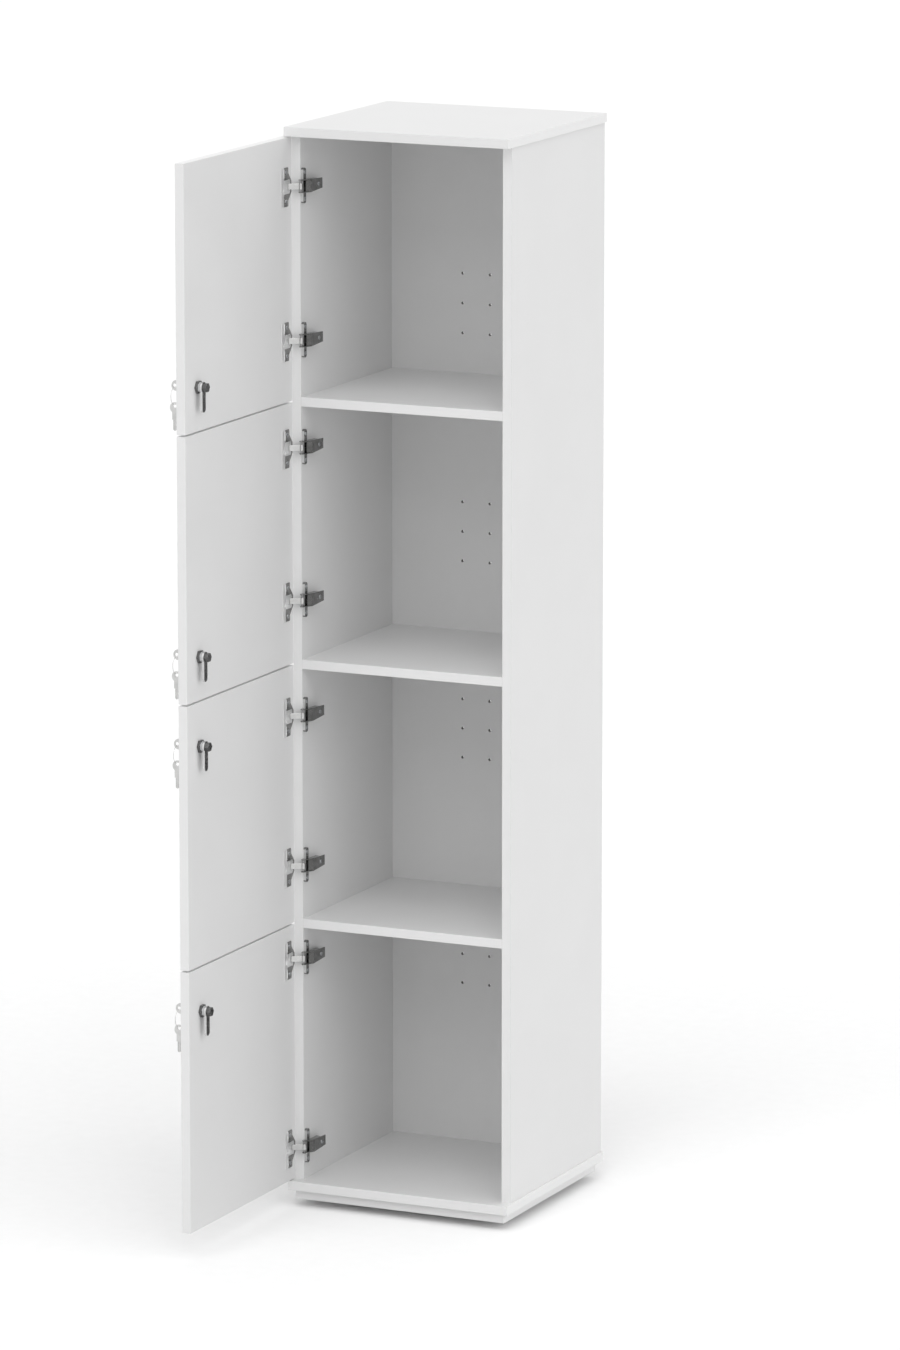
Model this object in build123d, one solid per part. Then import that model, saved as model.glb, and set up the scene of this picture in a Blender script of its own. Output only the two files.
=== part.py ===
"""Tall narrow locker cabinet: four stacked compartments, each with its own door on two
concealed hinges and a cam lock. Millimetres, +Z up. The origin is on the floor, midway
between the side panels and midway along their depth. The doors stand open at 90 degrees."""
import os
from math import cos, radians, sin

from build123d import *

os.makedirs("parts", exist_ok=True)

# Carcass: faced boards of one thickness
carcass_width = 400.0
side_depth = 378.0
inner_height = 1780.0
board = 16.0
top_overhang = 4.0
door_count = 4
edge_round = 0.8

# Back panel, held in grooves cut in the sides. Each compartment's holes start at a share of its height
back_thickness = 8.0
back_setback = 16.0
groove_depth = 8.0
groove_clearance = 0.1
vent_radius = 2.5
vent_pitch = 51.0
vent_rows = 3
vent_starts = (0.600, 0.483, 0.252, 0.144)

# Base
plinth_recess = 10.0
foot_height = 15.0
foot_radius = 12.0
foot_inset = 62.0
foot_stud_radius = 4.0
foot_stud_length = 12.0
base_screw_inset = 24.0
base_screw_length = 27.0

# Glued dowels between the boards
dowel_radius = 4.0
dowel_length = 32.0
dowel_clearance = 0.1
dowel_in_face = 11.0
dowel_inset = 60.0

# Doors
door_gap = 3.0
door_reveal = 2.0
door_stand_off = 2.0
open_face_offset = 2.0
open_end_gap = 4.0

# Concealed hinges: how far each door's two hinges are from its top edge and from its bottom edge
hinge_insets = ((82.0, 102.0), (75.0, 108.0), (85.0, 99.0), (58.0, 56.0))
cup_radius = 17.4
cup_wall = 0.8
cup_depth = 11.6
cup_fit = 0.1
cup_from_edge = 22.5
flange_thickness = 1.2
flange_height = 65.0
flange_width = 15.0
shoulder_reach = 19.5
shoulder_root = 23.0
shoulder_tip = 9.0
flange_corner = 2.0
cup_screw_spacing = 48.0
plate_thickness = 4.8
plate_length = 46.0
plate_width = 15.0
wing_height = 59.0
wing_width = 10.0
wing_front = 2.0
wing_corner = 4.0
plate_screw_spacing = 44.0
plate_slot_travel = 5.0
arm_wall = 1.6
arm_front_width = 22.0
arm_back_width = 17.0
arm_rise = 9.5
arm_start = 2.0
arm_end = 55.0
arm_screw_y = 40.0
arm_mouth = 12.0
arm_side_gap = 0.4
pivot_x = 18.6
pivot_y = -4.2
pivot_eye = 3.6
pivot_pin_radius = 1.5
pivot_clearance = 0.05
link_length = 20.2
link_thickness = 3.2
link_width = 10.0
link_angle = 216.2
link_stop_gap = 0.3
stop_lip_depth = 4.0
stop_lip_width = 14.0
screw_head_radius = 3.6
screw_head_height = 1.2
screw_shank_radius = 1.75
screw_length = 12.0
screw_clearance = 0.2

# Cam locks: two doors carry theirs near the bottom edge, two near the top edge
lock_backset = 45.0
lock_from_edge = 73.0
rosette_radius = 11.0
rosette_height = 2.0
barrel_radius = 9.0
barrel_reach = 8.0
barrel_clearance = 0.2
nut_radius = 11.5
nut_height = 4.5
plug_radius = 6.0
plug_clearance = 0.05
plug_square = 7.0
cam_thickness = 4.0
cam_width = 12.0
cam_pocket_clearance = 2.0
cam_pocket_wall = 4.0
cam_bolt_radius = 8.0
cam_hub_radius = 9.0
cam_bolt_height = 7.0
key_thickness = 2.0
key_blade_width = 6.5
key_blade_length = 18.0
key_slot_clearance = 0.15
key_shoulder_width = 10.0
key_shoulder_length = 13.0
key_bow_radius = 9.0
key_neck = 7.0
key_hole_radius = 3.2
key_hole_offset = 3.0
ring_radius = 15.0
ring_wire = 0.75
ring_slack = 0.7

# Places that follow from the sizes above
left = -carcass_width / 2
right = carcass_width / 2
front = -side_depth / 2
rear = side_depth / 2
plinth_bottom = foot_height
floor_bottom = plinth_bottom + board
floor_top = floor_bottom + board
ceiling = floor_top + inner_height
front_overhang = door_stand_off + board + top_overhang
inner_left = left + board
inner_right = right - board
back_face = rear - back_setback - back_thickness
pitch = inner_height / door_count
door_width = carcass_width - 2 * door_reveal
door_height = pitch - door_gap
door_face = left + open_face_offset
door_outer = door_face - board
door_end = front - open_end_gap
door_free_end = door_end - door_width
cup_y = door_end - cup_from_edge
lock_y = door_free_end + lock_backset
lock_x_shut = left + door_reveal + door_width - lock_backset
cam_length = right - cam_pocket_wall - cam_pocket_clearance - lock_x_shut
plate_screw_y = front + wing_front + wing_width / 2
nodes = {}


def block(x0, x1, y0, y1, z0, z1):
    """A plain box between two corners."""
    return Pos((x0 + x1) / 2, (y0 + y1) / 2, (z0 + z1) / 2) * Box(x1 - x0, y1 - y0, z1 - z0)


def rod_x(x0, x1, y, z, radius):
    """A round bar along X."""
    bar = Cylinder(radius, x1 - x0, align=(Align.CENTER, Align.CENTER, Align.MIN))
    return Pos(x0, y, z) * Rot(0, 90, 0) * bar


def rod_y(x, y0, y1, z, radius):
    """A round bar along Y."""
    bar = Cylinder(radius, y1 - y0, align=(Align.CENTER, Align.CENTER, Align.MIN))
    return Pos(x, y0, z) * Rot(-90, 0, 0) * bar


def rod_z(x, y, z0, z1, radius):
    """A round bar along Z."""
    return Pos(x, y, z0) * Cylinder(radius, z1 - z0, align=(Align.CENTER, Align.CENTER, Align.MIN))


def door_top(number):
    """Height of the top edge of a door, counted from the top."""
    return ceiling - (number - 1) * pitch - door_gap / 2


def lock_z(number):
    """Height of a door's lock: low on the upper doors, high on the lower ones."""
    if number <= door_count / 2:
        return door_top(number) - door_height + lock_from_edge
    return door_top(number) - lock_from_edge


def shelf_middle(number):
    """Height of the middle of a shelf, level with the gap between two doors."""
    return ceiling - number * pitch


# Dowel places: the shelves' ends first, then the sides' ends
dowel_ys = (front + dowel_inset, back_face - dowel_inset)
dowels = []
dowel_holes = []
dowel_hole_radius = dowel_radius + dowel_clearance
for number in range(1, door_count):
    for y in dowel_ys:
        for wall, way in ((inner_left, 1), (inner_right, -1)):
            outer_end = wall - way * dowel_in_face
            inner_end = outer_end + way * dowel_length
            ends = sorted((outer_end, inner_end))
            dowels.append(rod_x(*ends, y, shelf_middle(number), dowel_radius))
            dowel_holes.append(rod_x(*ends, y, shelf_middle(number), dowel_hole_radius))
for x in (left + board / 2, right - board / 2):
    for y in dowel_ys:
        for z0 in (floor_top - dowel_in_face, ceiling + dowel_in_face - dowel_length):
            dowels.append(rod_z(x, y, z0, z0 + dowel_length, dowel_radius))
            dowel_holes.append(rod_z(x, y, z0, z0 + dowel_length, dowel_hole_radius))
nodes["carcass_dowels"] = Compound(children=dowels)

# Boards of the carcass
cap_left = left - top_overhang
cap_right = right + top_overhang
cap_front = front - front_overhang
top = block(cap_left, cap_right, cap_front, rear, ceiling, ceiling + board)
nodes["top_panel"] = fillet(top.edges(), edge_round) - dowel_holes
bottom = block(cap_left, cap_right, cap_front, rear, floor_bottom, floor_top)
plinth_left = cap_left + plinth_recess
plinth_right = cap_right - plinth_recess
plinth_front = cap_front + plinth_recess
plinth_rear = rear - plinth_recess
feet = []
foot_studs = []
base_screws = []
base_holes = []
for x in (plinth_left + foot_inset, plinth_right - foot_inset):
    for y in (plinth_front + foot_inset, plinth_rear - foot_inset):
        pad = rod_z(x, y, 0, foot_height, foot_radius)
        pad = chamfer(pad.edges().group_by(Axis.Z)[0], edge_round)
        feet.append(pad + rod_z(x, y, foot_height, foot_height + foot_stud_length, foot_stud_radius))
        foot_studs.append(rod_z(x, y, foot_height, foot_height + foot_stud_length, foot_stud_radius))
for x in (plinth_left + base_screw_inset, plinth_right - base_screw_inset):
    for y in (plinth_front + base_screw_inset, plinth_rear - base_screw_inset):
        shank_end = plinth_bottom + base_screw_length
        head = rod_z(x, y, plinth_bottom - screw_head_height, plinth_bottom, screw_head_radius)
        base_screws.append(head + rod_z(x, y, plinth_bottom, shank_end, screw_shank_radius))
        hole_end = shank_end + screw_clearance
        base_holes.append(rod_z(x, y, plinth_bottom, hole_end, screw_shank_radius + screw_clearance))
nodes["levelling_feet"] = Compound(children=feet)
nodes["base_screws"] = Compound(children=base_screws)
nodes["bottom_panel"] = fillet(bottom.edges(), edge_round) - dowel_holes - base_holes
plinth = block(plinth_left, plinth_right, plinth_front, plinth_rear, plinth_bottom, floor_bottom)
nodes["plinth_board"] = fillet(plinth.edges().filter_by(Axis.Z), edge_round) - foot_studs - base_holes
groove_front = back_face - groove_clearance
groove_rear = back_face + back_thickness + groove_clearance
left_side = block(left, inner_left, front, rear, floor_top, ceiling)
left_side -= block(inner_left - groove_depth, inner_left, groove_front, groove_rear, floor_top, ceiling)
right_side = block(inner_right, right, front, rear, floor_top, ceiling)
right_side -= block(inner_right, inner_right + groove_depth, groove_front, groove_rear, floor_top, ceiling)
back_left = inner_left - groove_depth + groove_clearance
back_right = inner_right + groove_depth - groove_clearance
back = block(back_left, back_right, back_face, back_face + back_thickness, floor_top, ceiling)
for number, start in enumerate(vent_starts, start=1):
    compartment_top = shelf_middle(number - 1)
    for column in (-1, 0, 1):
        for row in range(vent_rows):
            z = compartment_top - start * pitch - row * vent_pitch
            back -= rod_y(column * vent_pitch, back_face, back_face + back_thickness, z, vent_radius)
nodes["back_panel"] = back
for number in range(1, door_count):
    middle = shelf_middle(number)
    shelf = block(inner_left, inner_right, front, back_face, middle - board / 2, middle + board / 2)
    shelf = fillet(shelf.edges().filter_by(Axis.X).group_by(Axis.Y)[0], edge_round)
    nodes[f"shelf_{number}"] = shelf - dowel_holes


def hinge_place(x, y, z):
    """A place measured from the outer face of the left side, the side fronts and a height."""
    return Pos(left + x, front + y, z)


def screw_x(x_seat, y, z, way):
    """A pan-head screw driven along X: its head lies on the seat and its shank goes the other way."""
    head = sorted((x_seat, x_seat - way * screw_head_height))
    shank = sorted((x_seat, x_seat + way * screw_length))
    return rod_x(*head, y, z, screw_head_radius) + rod_x(*shank, y, z, screw_shank_radius)


def pilot_x(x_seat, y, z, way):
    """The hole for such a screw, a little wider than its shank."""
    shank = sorted((x_seat, x_seat + way * (screw_length + screw_clearance)))
    return rod_x(*shank, y, z, screw_shank_radius + screw_clearance)


def hinge_cup(z):
    """Drawn steel cup let into the door's inner face, with a flange screwed to that face."""
    cup_middle = Pos(0, cup_y, z)
    turned = Rot(0, -90, 0)
    inside = cup_radius - cup_wall
    body = Cylinder(cup_radius, cup_depth, align=(Align.CENTER, Align.CENTER, Align.MIN))
    cavity = Cylinder(inside, cup_depth - cup_wall, align=(Align.CENTER, Align.CENTER, Align.MIN))
    wings = Plane.YZ * RectangleRounded(flange_width, flange_height, flange_corner)
    root = (flange_width / 2, shoulder_root)
    tip = (shoulder_reach, shoulder_tip)
    outline = Polyline(root, tip, (tip[0], -tip[1]), (root[0], -root[1]), close=True)
    shoulders = Plane.YZ * make_face(outline)
    mouth = Plane.YZ * Circle(inside)
    flange = extrude((wings + shoulders) - mouth, flange_thickness)
    shape = cup_middle * Pos(door_face, 0, 0) * flange
    shape += cup_middle * Pos(door_face, 0, 0) * turned * body
    shape -= cup_middle * Pos(door_face, 0, 0) * turned * cavity
    lip_top = open_face_offset + flange_thickness
    turn = radians(link_angle)
    reach = ((lip_top - pivot_x) * sin(turn) - link_thickness / 2 - link_stop_gap) / cos(turn)
    lip_y = front + pivot_y + reach
    lip_z = stop_lip_width / 2
    lip = block(door_face - stop_lip_depth, left + lip_top, lip_y, door_end, z - lip_z, z + lip_z)
    shape += lip & rod_x(door_face - cup_depth, left + lip_top, cup_y, z, cup_radius)
    for side in (-1, 1):
        shape -= pilot_x(door_face + flange_thickness, cup_y, z + side * cup_screw_spacing / 2, -1)
    return shape


def cup_screws(z):
    """The two screws of a cup's flange."""
    seat = door_face + flange_thickness
    return [screw_x(seat, cup_y, z + side * cup_screw_spacing / 2, -1) for side in (-1, 1)]


def mounting_plate(z):
    """Die-cast plate on the side panel: a rail under the arm and two screw wings."""
    seat = inner_left
    wing_y = front + wing_front
    wing_z = wing_height / 2
    wings = block(seat, seat + plate_thickness, wing_y, wing_y + wing_width, z - wing_z, z + wing_z)
    wings = fillet(wings.edges().filter_by(Axis.X), wing_corner)
    rail_z = plate_width / 2
    rail = block(seat, seat + plate_thickness, wing_y, wing_y + plate_length, z - rail_z, z + rail_z)
    shape = wings + rail
    slot_width = 2 * (screw_shank_radius + screw_clearance)
    for side in (-1, 1):
        hole_z = z + side * plate_screw_spacing / 2
        slot = Rot(0, 0, 90) * SlotCenterToCenter(plate_slot_travel, slot_width)
        shape -= Pos(seat, plate_screw_y, hole_z) * extrude(Plane.YZ * slot, plate_thickness)
    shape -= pilot_x(seat + plate_thickness + arm_rise, front + arm_screw_y, z, -1)
    return shape


def plate_screws(z):
    """The two screws of a mounting plate."""
    seat = inner_left + plate_thickness
    return [screw_x(seat, plate_screw_y, z + side * plate_screw_spacing / 2, -1) for side in (-1, 1)]


def hinge_arm(z):
    """Pressed channel that sits on the plate: two cheeks and a web, open at the front for the link."""
    base = board + plate_thickness
    roof = base + arm_rise
    profile = make_hull(
        [
            *(Pos(pivot_x, pivot_y) * Circle(pivot_eye)).edges(),
            *Polyline((base, arm_start), (roof, arm_mouth), (roof, arm_end), (base, arm_end)).edges(),
        ]
    )
    arm = extrude(profile, arm_front_width / 2, both=True)
    inside = arm_front_width / 2 - arm_wall
    nose = pivot_y - 2 * pivot_eye
    arm -= block(0, roof - arm_wall, nose, arm_end, -inside, inside)
    arm -= block(0, roof + arm_wall, nose, arm_mouth, -inside, inside)
    arm -= block(0, board + arm_side_gap, -arm_side_gap, arm_end, -arm_front_width, arm_front_width)
    arm -= block(0, base, wing_front - arm_side_gap, arm_end, -arm_front_width, arm_front_width)
    for side in (-1, 1):
        corner = [
            (arm_mouth, side * arm_front_width),
            (arm_end, side * arm_front_width),
            (arm_end, side * arm_back_width / 2),
            (arm_mouth, side * arm_front_width / 2),
        ]
        arm -= extrude(Plane.YZ * make_face(Polyline(*corner, close=True)), roof)
    arm -= rod_z(pivot_x, pivot_y, -arm_front_width, arm_front_width, pivot_pin_radius + pivot_clearance)
    arm -= pilot_x(roof, arm_screw_y, 0, -1)
    return hinge_place(0, 0, z) * arm


def arm_screw(z):
    """The screw that clamps an arm to its plate."""
    roof = inner_left + plate_thickness + arm_rise
    return screw_x(roof, front + arm_screw_y, z, -1)


def hinge_pin(z):
    """Pin across the arm's nose that the link turns on."""
    half = arm_front_width / 2
    return hinge_place(0, 0, z) * rod_z(pivot_x, pivot_y, -half, half, pivot_pin_radius)


def hinge_link(z):
    """Link between arm and cup: an eye on the arm's pin and a tongue that reaches into the cup."""
    tongue = SlotCenterToCenter(link_length, link_thickness)
    direction = Rot(0, 0, link_angle) * Pos(link_length / 2, 0)
    outline = Circle(pivot_eye) + direction * tongue - Circle(pivot_pin_radius + pivot_clearance)
    link = extrude(outline, link_width / 2, both=True)
    return hinge_place(pivot_x, pivot_y, z) * link


def lock_housing(z):
    """Lock barrel with its rosette outside the door, and the ring nut that holds it inside."""
    barrel = rod_x(door_outer - rosette_height, door_outer, lock_y, z, rosette_radius)
    barrel = chamfer(barrel.edges().group_by(Axis.X)[0], edge_round)
    barrel += rod_x(door_outer, door_face + barrel_reach, lock_y, z, barrel_radius)
    bore = plug_radius + plug_clearance
    barrel -= rod_x(door_outer - rosette_height, door_face + barrel_reach, lock_y, z, bore)
    nut = Plane.YZ * (RegularPolygon(nut_radius, 6) - Circle(barrel_radius + barrel_clearance))
    nut = Pos(door_face, lock_y, z) * extrude(nut, nut_height)
    return Compound(children=[barrel, nut])


def lock_plug(z):
    """Turning plug with its keyway and the square end that drives the cam."""
    plug = rod_x(door_outer - rosette_height, door_face + barrel_reach, lock_y, z, plug_radius)
    seat = door_face + barrel_reach
    half = plug_square / 2
    plug += block(seat, seat + cam_thickness, lock_y - half, lock_y + half, z - half, z + half)
    slot_y = key_thickness / 2 + key_slot_clearance
    slot_z = key_blade_width / 2 + key_slot_clearance
    slot_start = door_outer - rosette_height
    slot_end = slot_start + key_blade_length + key_slot_clearance
    plug -= block(slot_start, slot_end, lock_y - slot_y, lock_y + slot_y, z - slot_z, z + slot_z)
    return plug


def lock_cam(z):
    """Flat cam that hangs down when unlocked, with the hexagon bolt that holds it on the plug."""
    start = door_face + barrel_reach
    cam = SlotCenterToCenter(cam_length - cam_width / 2, cam_width)
    cam = Rot(0, 0, -90) * Pos((cam_length - cam_width / 2) / 2, 0) * cam + Circle(cam_hub_radius)
    hole = plug_square + 2 * plug_clearance
    cam -= Rectangle(hole, hole)
    cam = Pos(start, lock_y, z) * extrude(Plane.YZ * cam, cam_thickness)
    bolt = extrude(Plane.YZ * RegularPolygon(cam_bolt_radius, 6), cam_bolt_height)
    bolt = Pos(start + cam_thickness, lock_y, z) * bolt
    return cam + bolt


def flat_key():
    """A flat key in the XZ plane, bow centred on the origin and blade along +X."""
    bow = Circle(key_bow_radius) - Pos(-key_hole_offset, 0) * Circle(key_hole_radius)
    shoulder_end = key_neck + key_shoulder_length
    bow += Pos((key_neck + shoulder_end) / 2, 0) * Rectangle(key_shoulder_length, key_shoulder_width)
    blade = Pos(shoulder_end + key_blade_length / 2, 0) * Rectangle(key_blade_length, key_blade_width)
    key = extrude(bow + blade, key_thickness / 2, both=True)
    return Rot(90, 0, 0) * key


key_reach = key_neck + key_shoulder_length
bow_x = door_outer - rosette_height - key_reach
hole_drop = key_hole_radius - ring_wire - ring_slack


def inserted_key(z):
    """Key pushed home in the plug up to its shoulder."""
    return Pos(bow_x, lock_y, z) * flat_key()


def spare_key(z):
    """Second key hanging from the first on a ring."""
    ring_x = bow_x - key_hole_offset
    ring_top = z - hole_drop
    ring_middle = ring_top - ring_radius
    ring = Plane.YZ * (Circle(ring_radius + ring_wire) - Circle(ring_radius - ring_wire))
    ring = Pos(ring_x, lock_y, ring_middle) * extrude(ring, ring_wire, both=True)
    hole_z = ring_middle - ring_radius - hole_drop
    key = Rot(0, 90, 0) * flat_key()
    key = Pos(ring_x, lock_y, hole_z - key_hole_offset) * key
    return Compound(children=[ring, key])


# Doors with their hinges and locks, from the top down
pins = []
side_screws = []
arm_screws = []
for number in range(1, door_count + 1):
    top_edge = door_top(number)
    upper_inset, lower_inset = hinge_insets[number - 1]
    heights = (top_edge - upper_inset, top_edge - door_height + lower_inset)
    door = block(door_outer, door_face, door_free_end, door_end, top_edge - door_height, top_edge)
    door = fillet(door.edges(), edge_round)
    for z in heights:
        door -= rod_x(door_face - cup_depth - cup_fit, door_face, cup_y, z, cup_radius + cup_fit)
        for side in (-1, 1):
            screw_z = z + side * cup_screw_spacing / 2
            door -= pilot_x(door_face + flange_thickness, cup_y, screw_z, -1)
            screw_z = z + side * plate_screw_spacing / 2
            left_side -= pilot_x(inner_left + plate_thickness, plate_screw_y, screw_z, -1)
    z = lock_z(number)
    door -= rod_x(door_outer, door_face, lock_y, z, barrel_radius + barrel_clearance)
    nodes[f"door_{number}"] = door
    nodes[f"door_{number}_hinge_cups"] = Compound(children=[hinge_cup(h) for h in heights])
    nodes[f"door_{number}_cup_screws"] = Compound(children=[s for h in heights for s in cup_screws(h)])
    nodes[f"door_{number}_hinge_plates"] = Compound(children=[mounting_plate(h) for h in heights])
    nodes[f"door_{number}_hinge_arms"] = Compound(children=[hinge_arm(h) for h in heights])
    nodes[f"door_{number}_hinge_links"] = Compound(children=[hinge_link(h) for h in heights])
    nodes[f"lock_{number}_housing"] = lock_housing(z)
    nodes[f"lock_{number}_plug"] = lock_plug(z)
    nodes[f"lock_{number}_cam"] = lock_cam(z)
    nodes[f"lock_{number}_key"] = inserted_key(z)
    nodes[f"lock_{number}_spare_key"] = spare_key(z)
    pins += [hinge_pin(h) for h in heights]
    side_screws += [s for h in heights for s in plate_screws(h)]
    arm_screws += [arm_screw(h) for h in heights]
    # Pocket in the right side that the turned cam enters when the door is shut
    cam_y = front - door_stand_off + barrel_reach
    pocket_y0 = cam_y - cam_pocket_clearance
    pocket_y1 = cam_y + cam_thickness + cam_pocket_clearance
    pocket_z = cam_width / 2 + cam_pocket_clearance
    pocket_end = right - cam_pocket_wall
    right_side -= block(inner_right, pocket_end, pocket_y0, pocket_y1, z - pocket_z, z + pocket_z)
nodes["left_side"] = left_side - dowel_holes
nodes["right_side"] = right_side - dowel_holes
nodes["hinge_pins"] = Compound(children=pins)
nodes["plate_screws"] = Compound(children=side_screws)
nodes["arm_screws"] = Compound(children=arm_screws)

for name, shape in nodes.items():
    export_step(shape, f"parts/{name}.step")
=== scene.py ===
import math

import bmesh
import bpy
from mathutils import Matrix, Vector


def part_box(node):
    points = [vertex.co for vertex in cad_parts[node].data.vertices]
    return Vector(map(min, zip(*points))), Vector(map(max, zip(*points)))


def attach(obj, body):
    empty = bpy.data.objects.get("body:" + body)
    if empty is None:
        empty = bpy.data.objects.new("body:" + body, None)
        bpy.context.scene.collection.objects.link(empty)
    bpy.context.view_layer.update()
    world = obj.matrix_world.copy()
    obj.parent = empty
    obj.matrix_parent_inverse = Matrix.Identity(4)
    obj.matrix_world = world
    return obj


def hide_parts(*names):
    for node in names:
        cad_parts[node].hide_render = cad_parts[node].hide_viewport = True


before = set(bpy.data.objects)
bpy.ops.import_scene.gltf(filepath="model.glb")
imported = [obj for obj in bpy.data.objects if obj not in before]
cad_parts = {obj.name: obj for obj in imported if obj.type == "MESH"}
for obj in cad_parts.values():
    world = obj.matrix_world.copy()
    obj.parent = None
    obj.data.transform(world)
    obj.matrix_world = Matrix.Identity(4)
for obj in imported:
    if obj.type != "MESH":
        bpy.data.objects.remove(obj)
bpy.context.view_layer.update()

# Carcass and door boards: chipboard pressed between two white melamine papers and cut to size.
# The press plate leaves a fine pearl grain. Cut edges carry an ironed-on white band, a touch
# lighter than the faces, while the walls of the holes drilled in the back panel show the raw core,
# drawn dark grey: partly the core's own colour, partly painted shade inside the holes.


def linear(code):
    """The linear colour of an sRGB hex code."""
    parts = [int(code[i:i + 2], 16) / 255 for i in (0, 2, 4)]
    return [c / 12.92 if c <= 0.04045 else ((c + 0.055) / 1.055) ** 2.4 for c in parts] + [1.0]


def add(tree, kind, values=None, links=None, **settings):
    """A new node with its settings, its fixed values and the sockets that feed it."""
    node = tree.nodes.new(kind)
    for name, value in settings.items():
        setattr(node, name, value)
    for name, value in (values or {}).items():
        node.inputs[name].default_value = value
    for name, socket in (links or {}).items():
        tree.links.new(socket, node.inputs[name])
    return node


def new_finish(name):
    """An empty material and its node tree."""
    finish = bpy.data.materials.new(name)
    finish.use_nodes = True
    finish.node_tree.nodes.clear()
    return finish, finish.node_tree


def dress(finish, *names):
    """Puts a finish on CAD nodes that stay as they are."""
    for name in names:
        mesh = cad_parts[name].data
        mesh.materials.clear()
        mesh.materials.append(finish)


# The pearl grain is about 0.6 mm on the real sheet. It is drawn at 2 mm so that it shows here.
pearl_mm, pearl_deep_mm = 2.0, 0.3
# The paper's white drifts very slightly over a hand's width, and its gloss drifts with it.
mottle_mm = 170.0
paper_dark, paper_light = "E2E2E2", "E4E4E4"
paper_smooth, paper_rough, melamine_ior = 0.45, 0.53, 1.5
# Any face that leans this far from the board's thickness is a cut edge, and arrises are rubbed greyer.
edge_lean, rubbed_mm, rubbed_share = 0.7, 1.0, 0.55
band_white, raw_core_and_hole_shade, rubbed_white = "EAEAEA", "4A4744", "CDCCCA"
boards = {
    "X": ["left_side", "right_side", "door_1", "door_2", "door_3", "door_4"],
    "Y": ["back_panel"],
    "Z": ["top_panel", "bottom_panel", "plinth_board", "shelf_1", "shelf_2", "shelf_3"],
}
for thin, names in boards.items():
    finish, tree = new_finish("white_melamine_board_" + thin.lower())
    place = add(tree, "ShaderNodeTexCoord")
    pearl = add(tree, "ShaderNodeTexNoise", {"Scale": 1000 / pearl_mm, "Detail": 2.0},
                {"Vector": place.outputs["Object"]})
    mottle = add(tree, "ShaderNodeTexNoise", {"Scale": 1000 / mottle_mm, "Detail": 4.0},
                 {"Vector": place.outputs["Object"]})
    face = add(tree, "ShaderNodeSeparateXYZ", links={"Vector": place.outputs["Normal"]})
    flat = add(tree, "ShaderNodeMath", links={0: face.outputs[thin]}, operation="ABSOLUTE")
    band = add(tree, "ShaderNodeMath", {1: edge_lean}, {0: flat.outputs[0]}, operation="LESS_THAN")
    arris = add(tree, "ShaderNodeBevel", {"Radius": rubbed_mm / 1000}, samples=6)
    true = add(tree, "ShaderNodeNewGeometry")
    same = add(tree, "ShaderNodeVectorMath",
               links={0: arris.outputs[0], 1: true.outputs["Normal"]}, operation="DOT_PRODUCT")
    rub = add(tree, "ShaderNodeMapRange",
              {"From Min": 0.995, "From Max": 0.9, "To Min": 0.0, "To Max": rubbed_share},
              {"Value": same.outputs["Value"]})
    tone = add(tree, "ShaderNodeValToRGB", links={"Fac": mottle.outputs["Fac"]})
    tone.color_ramp.elements[0].position = 0.35
    tone.color_ramp.elements[0].color = linear(paper_dark)
    tone.color_ramp.elements[1].position = 0.65
    tone.color_ramp.elements[1].color = linear(paper_light)
    # On the back panel the cut faces get the raw core's dark grey, partly painted shade in its holes.
    banded = add(tree, "ShaderNodeMixRGB", {"Color2": linear(raw_core_and_hole_shade if thin == "Y" else band_white)},
                 {"Fac": band.outputs[0], "Color1": tone.outputs["Color"]})
    worn = add(tree, "ShaderNodeMixRGB", {"Color2": linear(rubbed_white)},
               {"Fac": rub.outputs["Result"], "Color1": banded.outputs["Color"]})
    gloss = add(tree, "ShaderNodeMapRange",
                {"From Min": 0.3, "From Max": 0.7, "To Min": paper_smooth, "To Max": paper_rough},
                {"Value": mottle.outputs["Fac"]})
    relief = add(tree, "ShaderNodeBump", {"Strength": 0.2, "Distance": pearl_deep_mm / 1000},
                 {"Height": pearl.outputs["Fac"]})
    shade = add(tree, "ShaderNodeBsdfPrincipled", {"IOR": melamine_ior},
                {"Base Color": worn.outputs["Color"], "Roughness": gloss.outputs["Result"],
                 "Normal": relief.outputs["Normal"]})
    add(tree, "ShaderNodeOutputMaterial", links={"Surface": shade.outputs[0]})
    dress(finish, *names)

# Levelling feet: black polypropylene pads on threaded studs, turned into the base board.
# Moulded with a fine spark grain, a little scuffed where they meet the floor.
# The spark grain is about 0.2 mm on a real pad. It is drawn at 0.8 mm so that it shows here.
spark_mm, spark_deep_mm, scuff_mm = 0.8, 0.1, 9.0
pad_black, pad_scuffed, polypropylene_ior = "1B1B1C", "343435", 1.49
finish, tree = new_finish("moulded_polypropylene")
place = add(tree, "ShaderNodeTexCoord")
spark = add(tree, "ShaderNodeTexNoise", {"Scale": 1000 / spark_mm, "Detail": 3.0},
            {"Vector": place.outputs["Object"]})
scuff = add(tree, "ShaderNodeTexNoise", {"Scale": 1000 / scuff_mm, "Detail": 5.0},
            {"Vector": place.outputs["Object"]})
tone = add(tree, "ShaderNodeValToRGB", links={"Fac": scuff.outputs["Fac"]})
tone.color_ramp.elements[0].color = linear(pad_black)
tone.color_ramp.elements[1].color = linear(pad_scuffed)
gloss = add(tree, "ShaderNodeMapRange", {"To Min": 0.45, "To Max": 0.7}, {"Value": scuff.outputs["Fac"]})
relief = add(tree, "ShaderNodeBump", {"Strength": 0.3, "Distance": spark_deep_mm / 1000},
             {"Height": spark.outputs["Fac"]})
shade = add(tree, "ShaderNodeBsdfPrincipled", {"IOR": polypropylene_ior},
            {"Base Color": tone.outputs["Color"], "Roughness": gloss.outputs["Result"],
             "Normal": relief.outputs["Normal"]})
add(tree, "ShaderNodeOutputMaterial", links={"Surface": shade.outputs[0]})
dress(finish, "levelling_feet")

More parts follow.
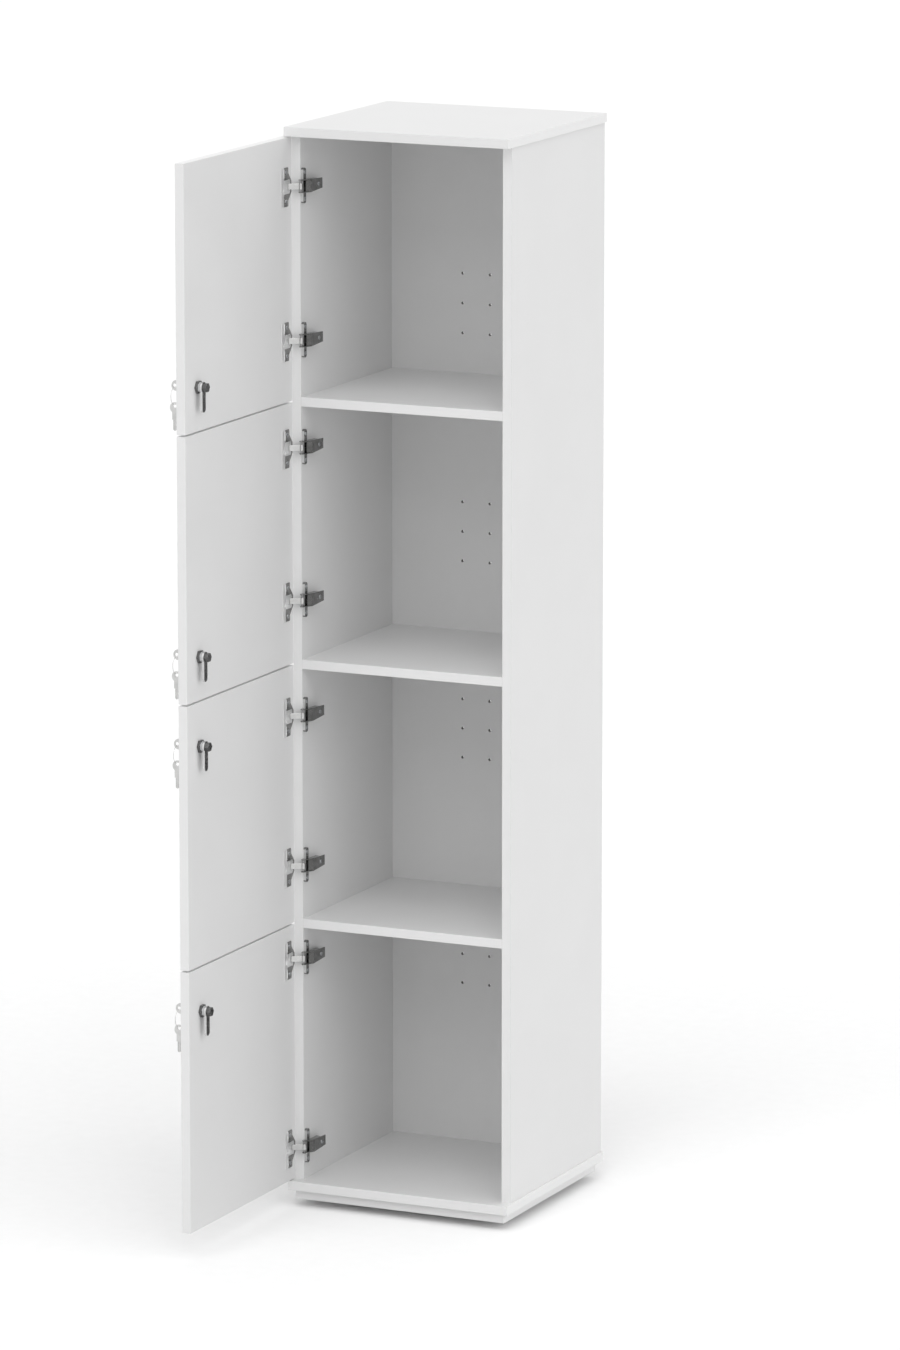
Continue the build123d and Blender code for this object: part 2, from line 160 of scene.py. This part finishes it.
# Dowels: turned beech pegs, glued in blind holes where the boards meet.
# Beech shows short darker flecks along the grain.
fleck_mm, beech_fleck, beech_pale = 1.5, "B98A5C", "D9B48A"
finish, tree = new_finish("turned_beech")
place = add(tree, "ShaderNodeTexCoord")
fleck = add(tree, "ShaderNodeTexNoise", {"Scale": 1000 / fleck_mm, "Detail": 4.0},
            {"Vector": place.outputs["Object"]})
tone = add(tree, "ShaderNodeValToRGB", links={"Fac": fleck.outputs["Fac"]})
tone.color_ramp.elements[0].color = linear(beech_fleck)
tone.color_ramp.elements[1].color = linear(beech_pale)
shade = add(tree, "ShaderNodeBsdfPrincipled", {"Roughness": 0.65}, {"Base Color": tone.outputs["Color"]})
add(tree, "ShaderNodeOutputMaterial", links={"Surface": shade.outputs[0]})
dress(finish, "carcass_dowels")

# Concealed hinges: cup, arm and link are pressed from sheet, the plate is die-cast, and all are
# plated, so that their edges are softly rolled. The cup is let into the door and screwed on, the
# plate is screwed to the side, the arm is clamped on the plate, and a pin in its nose holds the link.


def plated(name, dark, light, smooth, rough, wipe_mm):
    """A plated metal: two close tones, a gloss that varies with wiping, fine wipe marks."""
    # Wipe marks are some tenths of a millimetre wide. They are drawn at wipe_mm so that they show.
    film_mm, wipe_stretch, wipe_deep_mm = 14.0, 0.12, 0.1
    finish, tree = new_finish(name)
    place = add(tree, "ShaderNodeTexCoord")
    along = add(tree, "ShaderNodeMapping", {"Scale": (1.0, wipe_stretch, 1.0)},
                {"Vector": place.outputs["Object"]})
    wipe = add(tree, "ShaderNodeTexNoise", {"Scale": 1000 / wipe_mm, "Detail": 6.0, "Roughness": 0.7},
               {"Vector": along.outputs["Vector"]})
    film = add(tree, "ShaderNodeTexNoise", {"Scale": 1000 / film_mm, "Detail": 3.0},
               {"Vector": place.outputs["Object"]})
    tone = add(tree, "ShaderNodeValToRGB", links={"Fac": film.outputs["Fac"]})
    tone.color_ramp.elements[0].position = 0.3
    tone.color_ramp.elements[0].color = linear(dark)
    tone.color_ramp.elements[1].position = 0.7
    tone.color_ramp.elements[1].color = linear(light)
    gloss = add(tree, "ShaderNodeMapRange",
                {"From Min": 0.3, "From Max": 0.7, "To Min": smooth, "To Max": rough},
                {"Value": wipe.outputs["Fac"]})
    relief = add(tree, "ShaderNodeBump", {"Strength": 0.08, "Distance": wipe_deep_mm / 1000},
                 {"Height": wipe.outputs["Fac"]})
    shade = add(tree, "ShaderNodeBsdfPrincipled", {"Metallic": 1.0},
                {"Base Color": tone.outputs["Color"], "Roughness": gloss.outputs["Result"],
                 "Normal": relief.outputs["Normal"]})
    add(tree, "ShaderNodeOutputMaterial", links={"Surface": shade.outputs[0]})
    return finish


def welded(node, sheets):
    """The node's mesh with sheets of metal joined on, each an outline in metres and its run."""
    shape = bmesh.new()
    shape.from_mesh(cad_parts[node].data)
    bmesh.ops.remove_doubles(shape, verts=shape.verts, dist=1e-6)
    mesh = bpy.data.meshes.new(node + "_plain")
    shape.to_mesh(mesh)
    shape.free()
    plain = bpy.data.objects.new(node + "_plain", mesh)
    bpy.context.scene.collection.objects.link(plain)
    added = []
    for outline, run in sheets:
        shape = bmesh.new()
        face = shape.faces.new([shape.verts.new(point) for point in outline])
        far = bmesh.ops.extrude_face_region(shape, geom=[face])["geom"]
        bmesh.ops.translate(shape, verts=[v for v in far if isinstance(v, bmesh.types.BMVert)], vec=run)
        bmesh.ops.recalc_face_normals(shape, faces=shape.faces)
        mesh = bpy.data.meshes.new(node + "_sheet")
        shape.to_mesh(mesh)
        shape.free()
        sheet = bpy.data.objects.new(node + "_sheet", mesh)
        bpy.context.scene.collection.objects.link(sheet)
        weld = plain.modifiers.new("weld", "BOOLEAN")
        weld.operation = "UNION"
        weld.solver = "EXACT"
        weld.object = sheet
        added.append(sheet)
    bpy.context.view_layer.update()
    done = bpy.data.meshes.new_from_object(plain.evaluated_get(bpy.context.evaluated_depsgraph_get()))
    for thing in (plain, *added):
        bpy.data.objects.remove(thing)
    return done


def rolled(node, body, finish, radius_mm, form=None):
    """The node's shape, or a form built on it, with its sharp edges rounded, standing for it."""
    sliver_mm, flat_turn, rolled_turn, smooth_turn = 0.15, 1, 40, 32
    shape = bmesh.new()
    shape.from_mesh(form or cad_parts[node].data)
    bmesh.ops.remove_doubles(shape, verts=shape.verts, dist=sliver_mm / 1000)
    bmesh.ops.dissolve_limit(shape, angle_limit=math.radians(flat_turn),
                             verts=shape.verts, edges=shape.edges)
    sharp = [e for e in shape.edges
             if len(e.link_faces) == 2 and e.calc_face_angle() > math.radians(rolled_turn)]
    bmesh.ops.bevel(shape, geom=sharp, offset=radius_mm / 1000, segments=2, profile=0.5,
                    affect="EDGES", clamp_overlap=True)
    mesh = bpy.data.meshes.new(node + "_rolled")
    shape.to_mesh(mesh)
    shape.free()
    for face in mesh.polygons:
        face.use_smooth = True
        face.material_index = 0
    mesh.set_sharp_from_angle(angle=math.radians(smooth_turn))
    mesh.materials.clear()
    mesh.materials.append(finish)
    piece = bpy.data.objects.new(node + "_rolled", mesh)
    bpy.context.scene.collection.objects.link(piece)
    even = piece.modifiers.new("flat_faces_stay_flat", "WEIGHTED_NORMAL")
    even.keep_sharp = True
    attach(piece, body)
    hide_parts(node)
    return piece


def second_finish(piece, finish, chosen):
    """Gives another finish to the chosen faces of a piece."""
    piece.data.materials.append(finish)
    for face in piece.data.polygons:
        if chosen(face):
            face.material_index = len(piece.data.materials) - 1


# Nickel on the pressed and cast pieces is a mid grey mirror. The arm's apron gets a darker nickel as
# painted shade, and the link gets a brighter nickel as painted light. The inside of the drawn cup and its
# step are drawn near white as painted light where shade falls, and the cast plate's front gets a painted
# highlight.
hinge_nickel = plated("nickel_plated_steel", "818180", "969695", 0.16, 0.30, 2.5)
apron_shade_nickel = plated("apron_nickel_painted_shade", "5C5C5B", "6C6C6B", 0.2, 0.34, 2.5)
link_light_nickel = plated("link_nickel_painted_light", "D0D0CF", "DEDEDD", 0.14, 0.26, 2.5)
pin_steel = plated("drawn_steel_pin", "9A9A9A", "B0B0B0", 0.2, 0.3, 2.0)
cup_painted_light = plated("cup_and_step_painted_light", "F2F2F2", "FAFAFA", 0.45, 0.6, 2.5)
plate_front_highlight = plated("plate_front_painted_highlight", "DCDCDC", "E8E8E8", 0.3, 0.45, 2.5)
cup_roll_mm, plate_roll_mm, arm_roll_mm, link_roll_mm = 0.08, 1.0, 0.3, 0.35
# In metres: the cup and its flange, the lower step along the flange's back with a notch that lets the
# link pass, and the webs that narrow the cup's round mouth to a window between the flange's wings.
cup_radius, cup_deep = 0.0174, 0.02
flange_half, flange_high, flange_thick, flange_lip = 0.0075, 0.0325, 0.0012, 0.0003
step_high, step_thick, step_proud, step_lap = 0.0320, 0.0006, 0.0001, 0.0010
notch_reach, notch_half = 0.0140, 0.0080
window_half, web_right, web_shoulder, web_root = 0.0118, 0.0130, 0.0155, 0.0200
# In metres: the arm's sloping mouth, and the apron that covers its upper part.
arm_half, arm_mouth, arm_start, arm_rise = 0.011, 0.012, 0.002, 0.0095
apron_thick, apron_half, apron_share = 0.0016, 0.0102, 0.68
# How squarely a face has to look forward, or forward and inward, to get its painted highlight or painted
# shade.
faces_front, faces_aslant = 0.97, 0.6
front_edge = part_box("left_side")[0][1]
for number in range(1, 5):
    inner_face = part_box(f"door_{number}")[1][0]
    low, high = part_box(f"door_{number}_hinge_cups")
    cup_y = low[1] + cup_radius
    back, lap, notch = cup_y - cup_radius - step_proud, cup_y - flange_half + step_lap, cup_y - notch_reach
    web_left, web_top = step_lap / 2 - flange_half, flange_half - step_lap / 2
    web = [(web_left, window_half), (web_right, window_half), (web_right, web_shoulder),
           (web_top, web_root), (web_left, web_root)]
    sheets = []
    for z in (low[2] + flange_high, high[2] - flange_high):
        step = [(back, z - step_high), (lap, z - step_high), (lap, z - notch_half), (notch, z - notch_half),
                (notch, z + notch_half), (lap, z + notch_half), (lap, z + step_high), (back, z + step_high)]
        sheets.append(([(inner_face, y, h) for y, h in step], (step_thick, 0, 0)))
        for side in (-1, 1):
            sheets.append(([(inner_face, cup_y + y, z + side * h) for y, h in web], (flange_thick, 0, 0)))
    cups = rolled(f"door_{number}_hinge_cups", f"door_{number}", hinge_nickel, cup_roll_mm,
                  welded(f"door_{number}_hinge_cups", sheets))
    # Painted light: the inside of the cup and its step are drawn near white where shade falls.
    second_finish(cups, cup_painted_light, lambda f: inner_face - cup_deep < f.center.x < inner_face - flange_lip
                  or f.center.x > inner_face and f.center.y < cup_y - flange_half)
    plates = rolled(f"door_{number}_hinge_plates", "carcass", hinge_nickel, plate_roll_mm)
    # Painted highlight: the plate's forward faces are drawn light.
    second_finish(plates, plate_front_highlight, lambda f: f.normal.y < -faces_front)
    low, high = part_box(f"door_{number}_hinge_arms")
    slope = Vector((arm_rise, arm_mouth - arm_start))
    inward = Vector((-slope.y, slope.x)).normalized() * apron_thick
    mouth_top = Vector((high[0], front_edge + arm_mouth))
    mouth_low = mouth_top - slope * apron_share
    apron = [mouth_low, mouth_top, mouth_top + inward, mouth_low + inward]
    sheets = [([(x, y, z - apron_half) for x, y in apron], (0, 0, 2 * apron_half))
              for z in (low[2] + arm_half, high[2] - arm_half)]
    arms = rolled(f"door_{number}_hinge_arms", "carcass", hinge_nickel, arm_roll_mm,
                  welded(f"door_{number}_hinge_arms", sheets))
    # Painted shade: the apron's forward and inward faces are drawn in a darker nickel.
    second_finish(arms, apron_shade_nickel, lambda f: f.normal.x > faces_aslant and f.normal.y < -faces_aslant)
    # Painted light: the link gets a brighter nickel than the other hinge pieces.
    rolled(f"door_{number}_hinge_links", f"links_{number}", link_light_nickel, link_roll_mm)
dress(pin_steel, "hinge_pins")

# Screws of the hinges and of the base board: zinc plated pan heads with a cross recess, driven into
# the boards or the plate. Each is turned, domed and punched, and no cross lines up with the next.
# Thin zinc on a turned head is a cool light grey, and only half bright.
screw_zinc = plated("zinc_plated_screw", "A7A9AC", "BFC1C3", 0.22, 0.36, 1.5)
head_mm, head_high_mm, shank_mm, point_mm, tip_mm = 3.6, 1.2, 1.75, 1.5, 0.25
# The head's dome, as shares of its radius and height, from the flat top to the seat.
dome = ((0.30, 1.0), (0.72, 0.93), (0.93, 0.62), (1.0, 0.2), (1.0, 0.0))
recess_mm, recess_span, recess_high_mm = 0.55, 1.05, 1.6


def pan_screw(length_mm):
    """One screw along -Z with its head's seat at the origin: a lathed profile with a cross punched in."""
    ring_count = 24
    profile = [(head_mm * out, head_high_mm * up) for out, up in dome]
    profile += [(shank_mm, 0.0), (shank_mm, point_mm - length_mm), (tip_mm, -length_mm)]
    shape = bmesh.new()
    rings = []
    for radius, height in profile:
        angles = [math.tau * k / ring_count for k in range(ring_count)]
        rings.append([shape.verts.new((radius * math.cos(a), radius * math.sin(a), height))
                      for a in angles])
    for upper, lower in zip(rings, rings[1:]):
        for k in range(ring_count):
            ahead = (k + 1) % ring_count
            shape.faces.new((upper[k], lower[k], lower[ahead], upper[ahead]))
    shape.faces.new(rings[0])
    shape.faces.new(rings[-1][::-1])
    bmesh.ops.recalc_face_normals(shape, faces=shape.faces)
    mesh = bpy.data.meshes.new("pan_screw")
    shape.to_mesh(mesh)
    shape.free()
    blank = bpy.data.objects.new("pan_screw", mesh)
    # The second bar of the punch stands a hair higher, so that the two never share a plane.
    punch_shape = bmesh.new()
    for turn, lift_mm in ((0, 0.0), (90, 0.01)):
        bar = bmesh.ops.create_cube(punch_shape, size=1.0)["verts"]
        bmesh.ops.scale(punch_shape, verts=bar, vec=(head_mm * recess_span, recess_mm, recess_high_mm))
        bmesh.ops.rotate(punch_shape, verts=bar, matrix=Matrix.Rotation(math.radians(turn), 3, "Z"))
        bmesh.ops.translate(punch_shape, verts=bar, vec=(0, 0, head_high_mm + lift_mm))
    punch_mesh = bpy.data.meshes.new("cross_punch")
    punch_shape.to_mesh(punch_mesh)
    punch_shape.free()
    punch = bpy.data.objects.new("cross_punch", punch_mesh)
    for thing in (blank, punch):
        bpy.context.scene.collection.objects.link(thing)
    cut = blank.modifiers.new("cross", "BOOLEAN")
    cut.operation = "DIFFERENCE"
    cut.solver = "EXACT"
    cut.use_self = True
    cut.object = punch
    bpy.context.view_layer.update()
    done = bpy.data.meshes.new_from_object(blank.evaluated_get(bpy.context.evaluated_depsgraph_get()))
    bpy.data.objects.remove(blank)
    bpy.data.objects.remove(punch)
    return done


def screws(node, body, places, along, length_mm):
    """All screws of one node in one piece, each at its place and with its own turn of the cross."""
    turn_step = 37
    screw = pan_screw(length_mm)
    face_along = Vector(along).to_track_quat("Z", "Y").to_matrix().to_4x4()
    to_metres = Matrix.Diagonal((0.001, 0.001, 0.001, 1.0))
    group = bmesh.new()
    for count, place in enumerate(places):
        turn = Matrix.Rotation(math.radians(turn_step * count % 90), 4, "Z")
        part = screw.copy()
        part.transform(Matrix.Translation(place) @ face_along @ turn @ to_metres)
        group.from_mesh(part)
        bpy.data.meshes.remove(part)
    mesh = bpy.data.meshes.new(node + "_driven")
    group.to_mesh(mesh)
    group.free()
    for face in mesh.polygons:
        face.use_smooth = True
    mesh.set_sharp_from_angle(angle=math.radians(35))
    mesh.materials.append(screw_zinc)
    piece = bpy.data.objects.new(node + "_driven", mesh)
    bpy.context.scene.collection.objects.link(piece)
    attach(piece, body)
    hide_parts(node)


# In metres: how far the screws of a flange and of a plate stand above and below the hinge's middle.
cup_screw_off, plate_screw_off = 0.024, 0.022
hinge_screw_mm, base_screw_mm = 12.0, 27.0
head_out = head_high_mm / 1000
plate_low, plate_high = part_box("plate_screws")
arm_low, arm_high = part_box("arm_screws")
plate_places, arm_places = [], []
for number in range(1, 5):
    cups_low, cups_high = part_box(f"door_{number}_hinge_cups")
    middles = (cups_low[2] + flange_high, cups_high[2] - flange_high)
    low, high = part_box(f"door_{number}_cup_screws")
    screws(f"door_{number}_cup_screws", f"door_{number}",
           [(high[0] - head_out, (low[1] + high[1]) / 2, middle + side * cup_screw_off)
            for middle in middles for side in (-1, 1)], (1, 0, 0), hinge_screw_mm)
    plate_places += [(plate_high[0] - head_out, (plate_low[1] + plate_high[1]) / 2,
                      middle + side * plate_screw_off) for middle in middles for side in (-1, 1)]
    arm_places += [(arm_high[0] - head_out, (arm_low[1] + arm_high[1]) / 2, middle) for middle in middles]
screws("plate_screws", "carcass", plate_places, (1, 0, 0), hinge_screw_mm)
screws("arm_screws", "carcass", arm_places, (1, 0, 0), hinge_screw_mm)
low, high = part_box("base_screws")
inset = head_mm / 1000
screws("base_screws", "carcass",
       [(x, y, low[2] + head_out) for x in (low[0] + inset, high[0] - inset)
        for y in (low[1] + inset, high[1] - inset)], (0, 0, -1), base_screw_mm)

# Cam locks: a chromed barrel through the door with a ring nut inside, a turning plug, and a zinc
# plated cam bolted on the plug's square. The barrel is polished. The nut, the bolt and the barrel's end
# by the nut are drawn dark grey, the cam's inward flat gets the same dark grey as painted shade, and the
# cam's edge towards the door's free edge is drawn bright as a painted highlight.
# Polished chrome mirrors the room almost cleanly, while the zinc only gives a soft sheen.
lock_chrome = plated("polished_chrome", "C9CACC", "D6D7D8", 0.05, 0.12, 3.0)
cam_zinc = plated("tumbled_zinc_steel", "B6B6B6", "CACACA", 0.14, 0.26, 1.8)
nut_and_cam_shade_zinc = plated("dark_nut_and_cam_painted_shade", "626262", "767676", 0.22, 0.36, 1.8)
cam_edge_highlight = plated("cam_edge_painted_highlight", "E0E0E0", "EAEAEA", 0.3, 0.45, 1.8)
barrel_roll_mm, cam_roll_mm = 0.3, 0.4
# In metres: the nut lies within this of the door's face, and the bolt starts where the cam ends.
nut_zone, cam_thick, seat_slack = 0.02, 0.004, 0.0001
# How squarely a face of the cam has to look inward or forward to get the painted shade of its flat or the
# painted highlight of its edge.
faces_out = 0.6
for number in range(1, 5):
    inner_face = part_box(f"door_{number}")[1][0]
    housing = rolled(f"lock_{number}_housing", f"door_{number}", lock_chrome, barrel_roll_mm)
    # The nut and the barrel's end by it are drawn dark grey.
    second_finish(housing, nut_and_cam_shade_zinc, lambda f: inner_face < f.center.x < inner_face + nut_zone)
    cam = rolled(f"lock_{number}_cam", f"lock_{number}", cam_zinc, cam_roll_mm)
    bolt_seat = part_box(f"lock_{number}_cam")[0][0] + cam_thick + seat_slack
    # Painted shade: the cam's inward flat is drawn in the same dark grey, and the bolt beyond the cam is
    # plain dark grey.
    second_finish(cam, nut_and_cam_shade_zinc, lambda f: f.normal.x > faces_out or f.center.x > bolt_seat)
    # Painted highlight: the cam's forward-facing edge is drawn near white.
    second_finish(cam, cam_edge_highlight, lambda f: f.normal.y < -faces_out and f.center.x < bolt_seat)
    dress(lock_chrome, f"lock_{number}_plug")

# Keys: stamped from 2 mm nickel plated steel with a rounded bow, a shoulder, a milled groove and
# cuts along one edge. One is pushed home in the plug, its twin hangs from it on a split wire ring.
# Bright nickel on a rolled blank gives a light, soft mirror with fine marks from handling.
key_nickel = plated("nickel_plated_key", "CCCCCB", "DCDCDB", 0.14, 0.26, 1.8)
bow_mm, hole_mm, hole_back_mm = 9.0, 3.2, 3.0
shoulder_mm, shoulder_end_mm, blade_mm, blade_end_mm = 5.0, 20.0, 3.25, 38.0
# The nose is cut back at both corners, and the six cuts behind it are flat over their middle half.
nose_mm, nose_low_mm, nose_high_mm, nose_drop_mm = 2.5, (2.0, 1.0), (1.6, 0.6), 0.9
cuts_mm, flat_ends = (0.0, 1.1, 0.5, 1.6, 0.8, 1.4), (0.25, 0.75)
key_half_mm, key_roll_mm = 1.0, 0.25
groove_mm, groove_at_mm = (17.0, 1.1, 0.9), (29.1, -0.9, 1.0)


def key_shape():
    """One key in the XZ plane, its bow's centre at the origin and its blade along +X, in metres."""
    bow_points, hole_points = 40, 28
    start = math.asin(shoulder_mm / bow_mm)
    sweep = math.tau - 2 * start
    outline = [(bow_mm * math.cos(a), bow_mm * math.sin(a))
               for a in [start + sweep * k / bow_points for k in range(bow_points + 1)]]
    lower = [(shoulder_end_mm, -shoulder_mm), (shoulder_end_mm, -blade_mm),
             (blade_end_mm - nose_low_mm[0], -blade_mm), (blade_end_mm, -nose_low_mm[1])]
    upper = [(blade_end_mm, nose_high_mm[1]), (blade_end_mm - nose_high_mm[0], blade_mm - nose_drop_mm)]
    step = (blade_end_mm - nose_mm - shoulder_end_mm) / len(cuts_mm)
    for count, cut in enumerate(cuts_mm[::-1]):
        far = blade_end_mm - nose_mm - count * step
        upper += [(far - end * step, blade_mm - cut) for end in flat_ends]
    upper += [(shoulder_end_mm, blade_mm), (shoulder_end_mm, shoulder_mm)]
    hole = [(-hole_back_mm + hole_mm * math.cos(a), hole_mm * math.sin(a))
            for a in [math.tau * k / hole_points for k in range(hole_points)]]
    flat = bpy.data.curves.new("key_blank", "CURVE")
    flat.dimensions = "2D"
    flat.fill_mode = "BOTH"
    flat.extrude = (key_half_mm - key_roll_mm) / 1000
    flat.bevel_depth = key_roll_mm / 1000
    flat.bevel_resolution = 1
    flat.offset = -key_roll_mm / 1000
    for points in (outline + lower + upper, hole):
        spline = flat.splines.new("POLY")
        spline.points.add(len(points) - 1)
        for point, (x, z) in zip(spline.points, points):
            point.co = (x / 1000, z / 1000, 0, 1)
        spline.use_cyclic_u = True
    blank = bpy.data.objects.new("key_blank", flat)
    bpy.context.scene.collection.objects.link(blank)
    bpy.context.view_layer.update()
    mesh = bpy.data.meshes.new_from_object(blank.evaluated_get(bpy.context.evaluated_depsgraph_get()))
    bpy.data.objects.remove(blank)
    body = bpy.data.objects.new("key_body", mesh)
    mill_shape = bmesh.new()
    groove_x, groove_z, groove_side = (place / 1000 for place in groove_at_mm)
    for side in (-1, 1):
        groove = bmesh.ops.create_cube(mill_shape, size=1.0)["verts"]
        bmesh.ops.scale(mill_shape, verts=groove, vec=[length / 1000 for length in groove_mm])
        bmesh.ops.translate(mill_shape, verts=groove, vec=(groove_x, groove_z, side * groove_side))
    mill_mesh = bpy.data.meshes.new("key_mill")
    mill_shape.to_mesh(mill_mesh)
    mill_shape.free()
    mill = bpy.data.objects.new("key_mill", mill_mesh)
    for thing in (body, mill):
        bpy.context.scene.collection.objects.link(thing)
    cut = body.modifiers.new("groove", "BOOLEAN")
    cut.operation = "DIFFERENCE"
    cut.solver = "EXACT"
    cut.object = mill
    bpy.context.view_layer.update()
    done = bpy.data.meshes.new_from_object(body.evaluated_get(bpy.context.evaluated_depsgraph_get()))
    bpy.data.objects.remove(body)
    bpy.data.objects.remove(mill)
    done.transform(Matrix.Rotation(math.radians(90), 4, "X"))
    for face in done.polygons:
        face.use_smooth = True
    done.set_sharp_from_angle(angle=math.radians(15))
    return done


def set_out(name, mesh, body, node):
    """A key or a hung key as a piece of its own, standing for its CAD node."""
    for face in mesh.polygons:
        face.use_smooth = True
    mesh.materials.clear()
    mesh.materials.append(key_nickel)
    piece = bpy.data.objects.new(name, mesh)
    bpy.context.scene.collection.objects.link(piece)
    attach(piece, body)
    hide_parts(node)


# The split ring is two turns of thin wire side by side, inside the thickness of the CAD ring.
ring_mm, wire_mm, cad_wire_mm, turn_points = 15.0, 0.36, 0.75, 28
cut_key = key_shape()
for number in range(1, 5):
    low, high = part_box(f"lock_{number}_key")
    home = cut_key.copy()
    home.transform(Matrix.Translation(
        (low[0] + bow_mm / 1000, (low[1] + high[1]) / 2, (low[2] + high[2]) / 2)))
    set_out(f"lock_{number}_key_cut", home, f"lock_{number}", f"lock_{number}_key")
    low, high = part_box(f"lock_{number}_spare_key")
    middle = Vector((low[0] + high[0], low[1] + high[1], 0)) / 2
    ring_top = high[2] - (cad_wire_mm - wire_mm) / 1000
    ring_middle = ring_top - wire_mm / 1000 - ring_mm / 1000
    wire = bpy.data.curves.new(f"split_ring_{number}", "CURVE")
    wire.dimensions = "3D"
    wire.bevel_depth = wire_mm / 1000
    wire.bevel_resolution = 3
    wire.use_fill_caps = True
    wire.resolution_u = 3
    coil = wire.splines.new("NURBS")
    coil.points.add(2 * turn_points)
    for k, point in enumerate(coil.points):
        angle = math.tau * k / turn_points
        shift = (k / turn_points - 1) * wire_mm
        point.co = (middle.x + shift / 1000, middle.y + ring_mm / 1000 * math.sin(angle),
                    ring_middle + ring_mm / 1000 * math.cos(angle), 1)
    coil.order_u = 3
    coil.use_endpoint_u = True
    shape = bpy.data.objects.new(f"split_ring_{number}", wire)
    bpy.context.scene.collection.objects.link(shape)
    bpy.context.view_layer.update()
    joined = bmesh.new()
    joined.from_mesh(bpy.data.meshes.new_from_object(
        shape.evaluated_get(bpy.context.evaluated_depsgraph_get())))
    bpy.data.objects.remove(shape)
    twin = cut_key.copy()
    twin.transform(Matrix.Translation((middle.x, middle.y, low[2] + blade_end_mm / 1000))
                   @ Matrix.Rotation(math.radians(90), 4, "Y"))
    joined.from_mesh(twin)
    mesh = bpy.data.meshes.new(f"lock_{number}_spare_key_hung")
    joined.to_mesh(mesh)
    joined.free()
    set_out(f"lock_{number}_spare_key_hung", mesh, f"spare_key_{number}", f"lock_{number}_spare_key")

# Studio: a wide white sheet on the floor, an even white sky, and three large soft lights: overhead,
# in front and from the right. The sky counts as full white where it is seen or mirrored.
# The sheet's fibres are under 1 mm. They are drawn as a faint 25 mm mottle so that they show.
sheet_size, fibre_mm, sheet_dark, sheet_light = 160.0, 25.0, "F5F5F5", "F9F9F9"
bpy.ops.mesh.primitive_plane_add(size=sheet_size, location=(0, 0, 0))
sheet = bpy.context.object
sheet.name = "floor_sheet"
finish, tree = new_finish("white_floor_sheet")
place = add(tree, "ShaderNodeTexCoord")
fibre = add(tree, "ShaderNodeTexNoise", {"Scale": 1000 / fibre_mm, "Detail": 3.0},
            {"Vector": place.outputs["Object"]})
tone = add(tree, "ShaderNodeValToRGB", links={"Fac": fibre.outputs["Fac"]})
tone.color_ramp.elements[0].color = linear(sheet_dark)
tone.color_ramp.elements[1].color = linear(sheet_light)
shade = add(tree, "ShaderNodeBsdfDiffuse", {"Roughness": 0.9}, {"Color": tone.outputs["Color"]})
add(tree, "ShaderNodeOutputMaterial", links={"Surface": shade.outputs[0]})
sheet.data.materials.append(finish)

sky_light, sky_seen = 0.57, 1.0
world = bpy.data.worlds.new("white_studio")
bpy.context.scene.world = world
world.use_nodes = True
tree = world.node_tree
tree.nodes.clear()
path = add(tree, "ShaderNodeLightPath")
direct = add(tree, "ShaderNodeMath",
             links={0: path.outputs["Is Camera Ray"], 1: path.outputs["Is Glossy Ray"]},
             operation="MAXIMUM")
seen = add(tree, "ShaderNodeMath",
           links={0: direct.outputs[0], 1: path.outputs["Is Transmission Ray"]}, operation="MAXIMUM")
level = add(tree, "ShaderNodeMapRange", {"To Min": sky_light, "To Max": sky_seen},
            {"Value": seen.outputs[0]})
sky = add(tree, "ShaderNodeBackground", {"Color": linear("FFFFFF")}, {"Strength": level.outputs["Result"]})
add(tree, "ShaderNodeOutputWorld", links={"Surface": sky.outputs[0]})

for name, energy, spread, source in (
    ("overhead_softbox", 0.50, 60, (0.05, 0.34, 0.94)),
    ("front_softbox", 0.84, 50, (0.05, -0.62, 0.78)),
    ("side_softbox", 0.86, 80, (0.89, -0.24, 0.39)),
):
    lamp = bpy.data.lights.new(name, "SUN")
    lamp.energy = energy
    lamp.angle = math.radians(spread)
    softbox = bpy.data.objects.new(name, lamp)
    softbox.rotation_euler = Vector(source).to_track_quat("Z", "Y").to_euler()
    bpy.context.scene.collection.objects.link(softbox)

# Camera: a long lens about 13 m away, in front, above and to the right, fitted to the photograph's
# board edges without a shift.
focal_px, frame_high_px = 7525.45, 1350
eye_down, eye_turn = 11.125, 24.797
lens = bpy.data.cameras.new("long_lens")
lens.sensor_width = 36.0
lens.lens = focal_px / frame_high_px * lens.sensor_width
lens.clip_end = 200.0
eye = bpy.data.objects.new("long_lens", lens)
eye.location = (5.22937, -11.31573, 3.35152)
eye.rotation_euler = (math.radians(90 - eye_down), 0, math.radians(eye_turn))
bpy.context.scene.collection.objects.link(eye)
bpy.context.scene.camera = eye
bpy.context.scene.view_settings.view_transform = "Standard"
